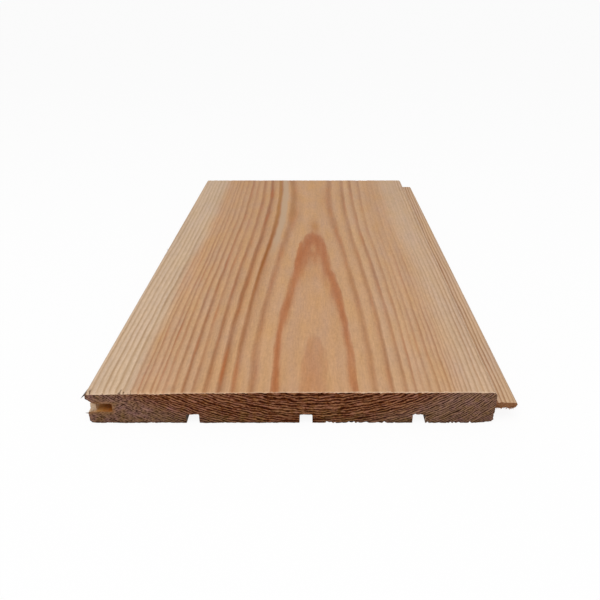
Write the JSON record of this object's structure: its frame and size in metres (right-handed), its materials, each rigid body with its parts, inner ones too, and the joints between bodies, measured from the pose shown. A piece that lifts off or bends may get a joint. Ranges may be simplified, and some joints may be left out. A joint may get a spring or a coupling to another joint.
{
  "type": "planed board",
  "caption": "Short length of planed softwood profile board: flat show face, tongue along one edge, matching groove along the other, relief grooves milled in the back.",
  "frame": {"origin": "middle of the board's length and overall width, on the plane of its back", "axes": "+X across the board towards the tongue, +Y along the grain away from the end nearest the viewer, +Z out of the show face"},
  "size_m": [0.146, 0.26, 0.0125],
  "materials": {
    "larch": "planed, unfinished"
  },
  "bodies": {
    "root": {"planed_board": "larch"}
  },
  "joints": []
}
